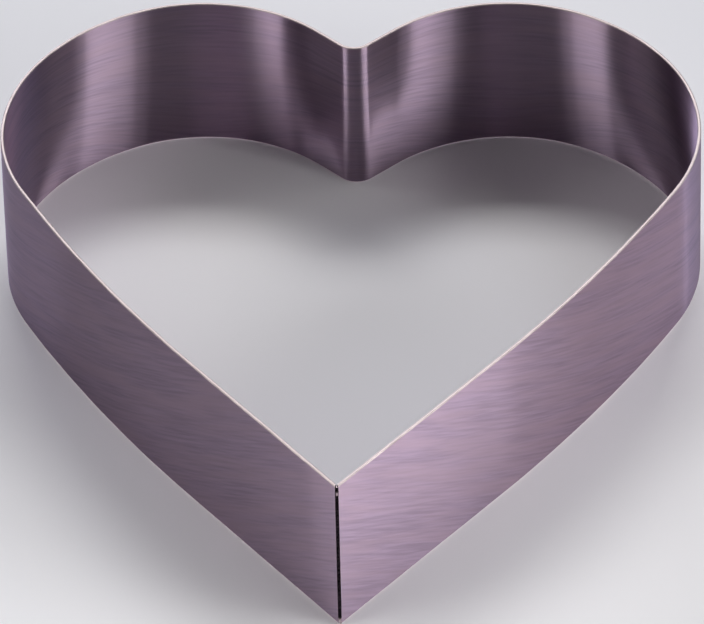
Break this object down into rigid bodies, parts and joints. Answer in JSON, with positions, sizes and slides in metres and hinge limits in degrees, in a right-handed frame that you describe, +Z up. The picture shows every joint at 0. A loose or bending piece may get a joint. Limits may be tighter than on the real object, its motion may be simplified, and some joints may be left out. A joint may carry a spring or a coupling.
{
  "type": "heart cake ring",
  "caption": "Open heart-shaped ring of upright bent stainless strip, welded at its front tip, that stands on a tray to mould, cut or layer a cake.",
  "frame": {"origin": "middle of the ring's footprint, on the plane of its lower rim", "axes": "+Z up through the open heart, -Y towards the pointed tip, +Y towards the cleft, +X to the right lobe"},
  "size_m": [0.2056, 0.228, 0.05],
  "materials": {
    "brushed_strip": "stainless strip brushed along its length, with bright deburred rims",
    "weld_metal": "stainless weld metal, slightly rough and heat-tinted"
  },
  "bodies": {
    "root": {"heart_band": "brushed_strip", "seam_root_weld": "weld_metal", "top_tack_weld": "weld_metal", "bottom_tack_weld": "weld_metal"}
  },
  "joints": []
}
